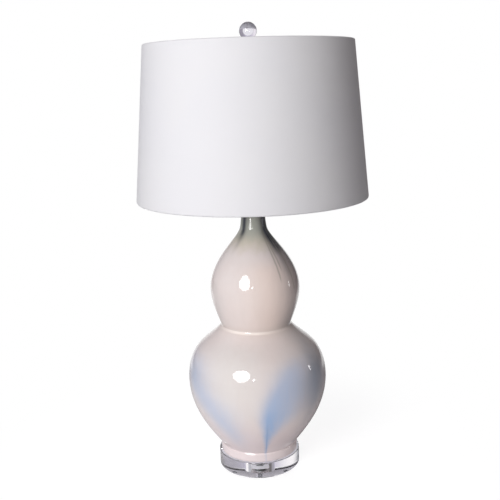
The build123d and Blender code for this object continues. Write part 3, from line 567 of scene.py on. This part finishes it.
# ------------------------------------------------------------------ camera
def make_camera():
    """At the photograph's place: it looks a little down on the lamp from the front."""
    eye = (0.0, -1.46434, 0.75135)
    pitch, roll, yaw = 0.2133, -0.0288, -0.0052
    lens, sensor = 56.69, 36.0
    forward = Vector((math.sin(yaw) * math.cos(pitch), math.cos(yaw) * math.cos(pitch), -math.sin(pitch)))
    right = forward.cross(Vector((0.0, 0.0, 1.0))).normalized()
    up = right.cross(forward)
    level_right = right * math.cos(roll) + up * math.sin(roll)
    level_up = up * math.cos(roll) - right * math.sin(roll)
    data = bpy.data.cameras.new("camera")
    data.lens = lens
    data.sensor_width = sensor
    data.sensor_fit = "HORIZONTAL"
    camera = bpy.data.objects.new("camera", data)
    scene.collection.objects.link(camera)
    turn = Matrix((level_right, level_up, -forward)).transposed()
    camera.matrix_world = Matrix.Translation(eye) @ turn.to_4x4()
    scene.camera = camera


# ------------------------------------------------------------------ light
def area_lamp(name, turn, rise, distance, target, size, power, shape="DISK", size_y=None):
    """Soft lamp at a bearing from the front, growing to the right, and a height angle, aimed at a point."""
    bearing, height = math.radians(turn), math.radians(rise)
    level = math.cos(height)
    away = Vector((math.sin(bearing) * level, -math.cos(bearing) * level, math.sin(height)))
    data = bpy.data.lights.new(name, "AREA")
    data.shape = shape
    data.size = size
    if size_y:
        data.size_y = size_y
    data.energy = power
    lamp = bpy.data.objects.new(name, data)
    scene.collection.objects.link(lamp)
    lamp.location = Vector(target) + away * distance
    lamp.rotation_euler = away.to_track_quat("Z", "Y").to_euler()
    return lamp


def make_lights():
    middle = (0.0, 0.0, 0.40)
    key = area_lamp("key", -27.5, 18.5, 2.2, middle, size=1.06, power=37.0, shape="ELLIPSE", size_y=1.14)
    key.visible_transmission = False
    area_lamp("spark", -6.0, 11.0, 2.2, middle, size=0.09, power=2.0)
    area_lamp("edge_strip", 96.0, 1.0, 1.8, middle, size=0.05, power=0.5, shape="RECTANGLE", size_y=0.28)
    # lights the back, which the other lamps leave dim, and hardly reaches what the camera sees
    back_fill = area_lamp("back_fill", 176.0, 16.0, 2.4, middle, size=0.7, power=19.0)
    back_fill.visible_transmission = False
    back_fill.visible_glossy = False


def make_world():
    """White behind the lamp, a soft glow from the left, faint ones in front and above, dim to the right."""
    world = bpy.data.worlds.new("studio")
    scene.world = world
    world.use_nodes = True
    g = Graph(world.node_tree)
    x, y, z = g.split(g.node("ShaderNodeTexCoord").outputs["Generated"])
    left = g.span(x, 0.1, -0.9)
    right = g.span(x, 0.2, 0.9)
    top = g.span(z, 0.3, 1.0)
    front = g.span(g.add(g.mul(x, 0.45), g.mul(y, -0.9)), 0.2, 1.0)
    level = g.add(0.09, g.add(g.mul(left, 0.40), g.mul(right, 0.05)))
    level = g.add(level, g.mul(front, 0.20))
    level = g.add(level, g.mul(top, 0.10))
    room = g.mix(g.span(x, -0.5, 0.6), (0.97, 0.97, 1.05, 1.0), (1.06, 0.98, 0.99, 1.0))
    dim = g.node("ShaderNodeBackground", {"Color": room, "Strength": level}).outputs[0]
    white = g.node("ShaderNodeBackground", {"Color": (1.0, 1.0, 1.0, 1.0), "Strength": 1.0}).outputs[0]
    # seen through the clear pieces, the room behind is a lavender grey that brightens to the left
    beyond = g.mix(g.span(z, 0.0, 0.35), (0.26, 0.25, 0.29, 1.0), (0.53, 0.50, 0.61, 1.0))
    beyond = g.mix(g.span(x, 0.10, 0.50), beyond, (0.40, 0.38, 0.43, 1.0))
    beyond = g.mix(g.span(x, -0.05, -0.65), beyond, (1.08, 1.04, 1.05, 1.0))
    backdrop = g.node("ShaderNodeBackground", {"Color": beyond, "Strength": 1.0}).outputs[0]
    light_path = g.node("ShaderNodeLightPath").outputs
    behind = g.mul(light_path["Is Transmission Ray"], g.span(y, 0.2, 0.6))
    room_or_backdrop = g.node("ShaderNodeMixShader", {0: behind, 1: dim, 2: backdrop}).outputs[0]
    # gloss and the clear pieces show the white behind the lamp too
    gloss_or_clear = g.add(light_path["Is Glossy Ray"], light_path["Is Transmission Ray"])
    shown = g.add(light_path["Is Camera Ray"], g.mul(gloss_or_clear, g.span(y, 0.88, 0.96)))
    surface = g.node("ShaderNodeMixShader", {0: shown, 1: room_or_backdrop, 2: white}).outputs[0]
    g.node("ShaderNodeOutputWorld", {"Surface": surface})


def make_floor():
    """Pale floor that turns into the white background away from the lamp."""
    mesh = bpy.data.meshes.new("floor")
    rings = bmesh.new()
    bmesh.ops.create_circle(rings, cap_ends=True, segments=96, radius=6.0)
    rings.to_mesh(mesh)
    rings.free()
    floor = bpy.data.objects.new("floor", mesh)
    scene.collection.objects.link(floor)
    made, g = material("floor_paper")
    place = g.place()
    x, y, _ = g.split(place)
    away = g.math("SQRT", g.add(g.mul(x, x), g.mul(y, y)))
    grain = g.noise(place, 60.0, 2.0)
    paper = g.mix(g.span(grain, 0.3, 0.7), (0.93, 0.93, 0.93, 1.0), (0.91, 0.91, 0.915, 1.0))
    near = g.span(away, 0.9, 0.3)
    dimmer = g.mix(near, (0.30, 0.30, 0.30, 1.0), paper)
    light_path = g.node("ShaderNodeLightPath").outputs
    # its mirror image in the glaze is darker to the right, where the room is dim
    mirrored = g.mul(light_path["Is Glossy Ray"], g.span(x, -0.05, 0.08))
    dimmer = g.mix(mirrored, dimmer, (0.24, 0.24, 0.25, 1.0))
    dimmer = g.mix(light_path["Is Transmission Ray"], dimmer, (0.36, 0.34, 0.40, 1.0))
    diffuse = g.node("ShaderNodeBsdfDiffuse", {"Color": dimmer}).outputs[0]
    # light from below, as from a light table, on what faces down at the right and under the disc
    lit = g.mul(g.mul(light_path["Is Diffuse Ray"], g.span(away, 0.7, 0.1)), g.span(x, 0.04, 0.22, 0.0, 0.42))
    lit = g.add(lit, g.mul(g.mul(light_path["Is Transmission Ray"], g.span(away, 0.16, 0.08)), 0.42))
    from_below = g.node("ShaderNodeEmission", {"Color": (1.0, 0.98, 1.0, 1.0), "Strength": lit}).outputs[0]
    diffuse = g.node("ShaderNodeAddShader", {0: diffuse, 1: from_below}).outputs[0]
    # for the eye, most of the white is the floor's own and a part of it takes the lamp's shadow
    caught = g.node("ShaderNodeBsdfDiffuse", {"Color": (0.34, 0.34, 0.34, 1.0)}).outputs[0]
    glow = g.node("ShaderNodeEmission", {"Color": (1.0, 1.0, 1.0, 1.0), "Strength": 0.79}).outputs[0]
    shadowed = g.node("ShaderNodeAddShader", {0: caught, 1: glow}).outputs[0]
    white = g.node("ShaderNodeEmission", {"Color": (1.0, 1.0, 1.0, 1.0), "Strength": 1.0}).outputs[0]
    fade = g.span(away, 0.25, 0.60)
    for_eye = g.node("ShaderNodeMixShader", {0: fade, 1: shadowed, 2: white}).outputs[0]
    # gloss and the clear pieces show the white behind the lamp too
    aim = g.math("ABSOLUTE", g.math("DIVIDE", x, g.add(y, 1.5)))
    behind = g.mul(g.span(y, 0.45, 0.8), g.span(aim, 0.42, 0.30))
    gloss_or_clear = g.add(light_path["Is Glossy Ray"], light_path["Is Transmission Ray"])
    shown = g.add(light_path["Is Camera Ray"], g.mul(gloss_or_clear, behind))
    surface = g.node("ShaderNodeMixShader", {0: shown, 1: diffuse, 2: for_eye}).outputs[0]
    g.end(surface)
    mesh.materials.append(made)


# ------------------------------------------------------------------ shade cloth
def shade_point(along, inward):
    """Radius and height of a point up the slant from the bottom edge and in from the outer face."""
    lean = (SHADE_BOTTOM_RADIUS - SHADE_TOP_RADIUS) / SHADE_SLANT
    rise = (SHADE_TOP - SHADE_BOTTOM) / SHADE_SLANT
    return SHADE_BOTTOM_RADIUS - along * lean - inward * rise, SHADE_BOTTOM + along * rise - inward * lean


def rod_between(start, end, radius):
    """Mesh of a plain rod, used to cut with."""
    axis = end - start
    rod = bmesh.new()
    bmesh.ops.create_cone(rod, cap_ends=True, segments=20, radius1=radius, radius2=radius, depth=axis.length)
    turn = axis.to_track_quat("Z", "Y").to_matrix().to_4x4()
    bmesh.ops.transform(rod, matrix=Matrix.Translation((start + end) / 2) @ turn, verts=rod.verts)
    mesh = bpy.data.meshes.new("cutter")
    rod.to_mesh(mesh)
    rod.free()
    return mesh


def cut_notches(cloth):
    """Slots in the top roll for the spider's three arms."""
    ring_radius, ring_level = shade_point(SHADE_SLANT - ROLL, ROLL)
    cutters = []
    for bearing in ARM_BEARINGS:
        outward = Vector((math.cos(math.radians(bearing)), math.sin(math.radians(bearing)), 0.0))
        ring = outward * ring_radius + Vector((0.0, 0.0, ring_level))
        bend = outward * (ring_radius - ARM_BEND_RUN) + Vector((0.0, 0.0, HUB_LEVEL))
        mesh = rod_between(bend, ring + (ring - bend).normalized() * NOTCH_RADIUS / 2, NOTCH_RADIUS)
        cutter = bpy.data.objects.new("cutter", mesh)
        scene.collection.objects.link(cutter)
        cutters.append(cutter)
        cut = cloth.modifiers.new("notch", "BOOLEAN")
        cut.operation = "DIFFERENCE"
        cut.solver = "EXACT"
        cut.object = cutter
    made = cloth.evaluated_get(bpy.context.evaluated_depsgraph_get())
    mesh = bpy.data.meshes.new_from_object(made)
    cloth.modifiers.clear()
    cloth.data = mesh
    for cutter in cutters:
        bpy.data.objects.remove(cutter)


def make_shade_cloth():
    """One skin of linen, wrapped round both ring wires and lapped at the back."""
    slant = SHADE_SLANT
    inner = ROLL - CLOTH

    def rolled(end, direction, radius, turns):
        centre = ROLL if end == "bottom" else slant - ROLL
        return [
            shade_point(centre + direction * radius * math.sin(math.radians(turn)),
                        ROLL - radius * math.cos(math.radians(turn)))
            for turn in turns]

    roll_step, roll_steps, flat_steps = 15.0, 18, 24
    arc = [i * roll_step for i in range(roll_steps + 1)]
    flat = [ROLL + (slant - 2 * ROLL) * i / flat_steps for i in range(1, flat_steps)]
    outer = rolled("bottom", -1, ROLL, arc[::-1]) + [shade_point(s, 0.0) for s in flat]
    outer += rolled("top", 1, ROLL, arc)
    inside = rolled("bottom", -1, inner, arc[::-1]) + [shade_point(s, CLOTH) for s in flat]
    inside += rolled("top", 1, inner, arc)
    section = outer + inside[::-1]
    round_steps = 288
    # the lap's two edges fall on steps of their own, and it stands out by about one thickness of cloth
    back, edge = 180.0, 0.04
    half_lap = math.degrees(SEAM_WIDTH / 2 / SHADE_BOTTOM_RADIUS)
    even = [360.0 * i / round_steps for i in range(round_steps)]
    turns = [(turn, 0.0) for turn in even if abs(turn - back) > half_lap]
    turns += [(back - half_lap, 0.0), (back - half_lap + edge, LAP), (back, LAP),
              (back + half_lap - edge, LAP), (back + half_lap, 0.0)]
    turns.sort()
    grid = bmesh.new()
    loops = []
    for turn, lap in turns:
        angle = math.radians(turn)
        ring = []
        for i, (r, z) in enumerate(section):
            reach = r + (lap if i < len(outer) else 0.0)
            ring.append(grid.verts.new((reach * math.sin(angle), -reach * math.cos(angle), z)))
        loops.append(ring)
    count = len(section)
    for i, here in enumerate(loops):
        there = loops[(i + 1) % len(loops)]
        for j in range(count):
            k = (j + 1) % count
            grid.faces.new((here[j], here[k], there[k], there[j]))
    bmesh.ops.recalc_face_normals(grid, faces=grid.faces)
    mesh = bpy.data.meshes.new("shade_linen")
    grid.to_mesh(mesh)
    grid.free()
    cloth = bpy.data.objects.new("shade_linen", mesh)
    scene.collection.objects.link(cloth)
    give(cloth, "linen")
    cut_notches(cloth)
    smooth(cloth, 40.0)
    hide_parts("shade_fabric")
    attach(cloth, "shade")


make_camera()
make_lights()
make_world()
make_floor()
make_shade_cloth()
scene.view_settings.view_transform = "Standard"
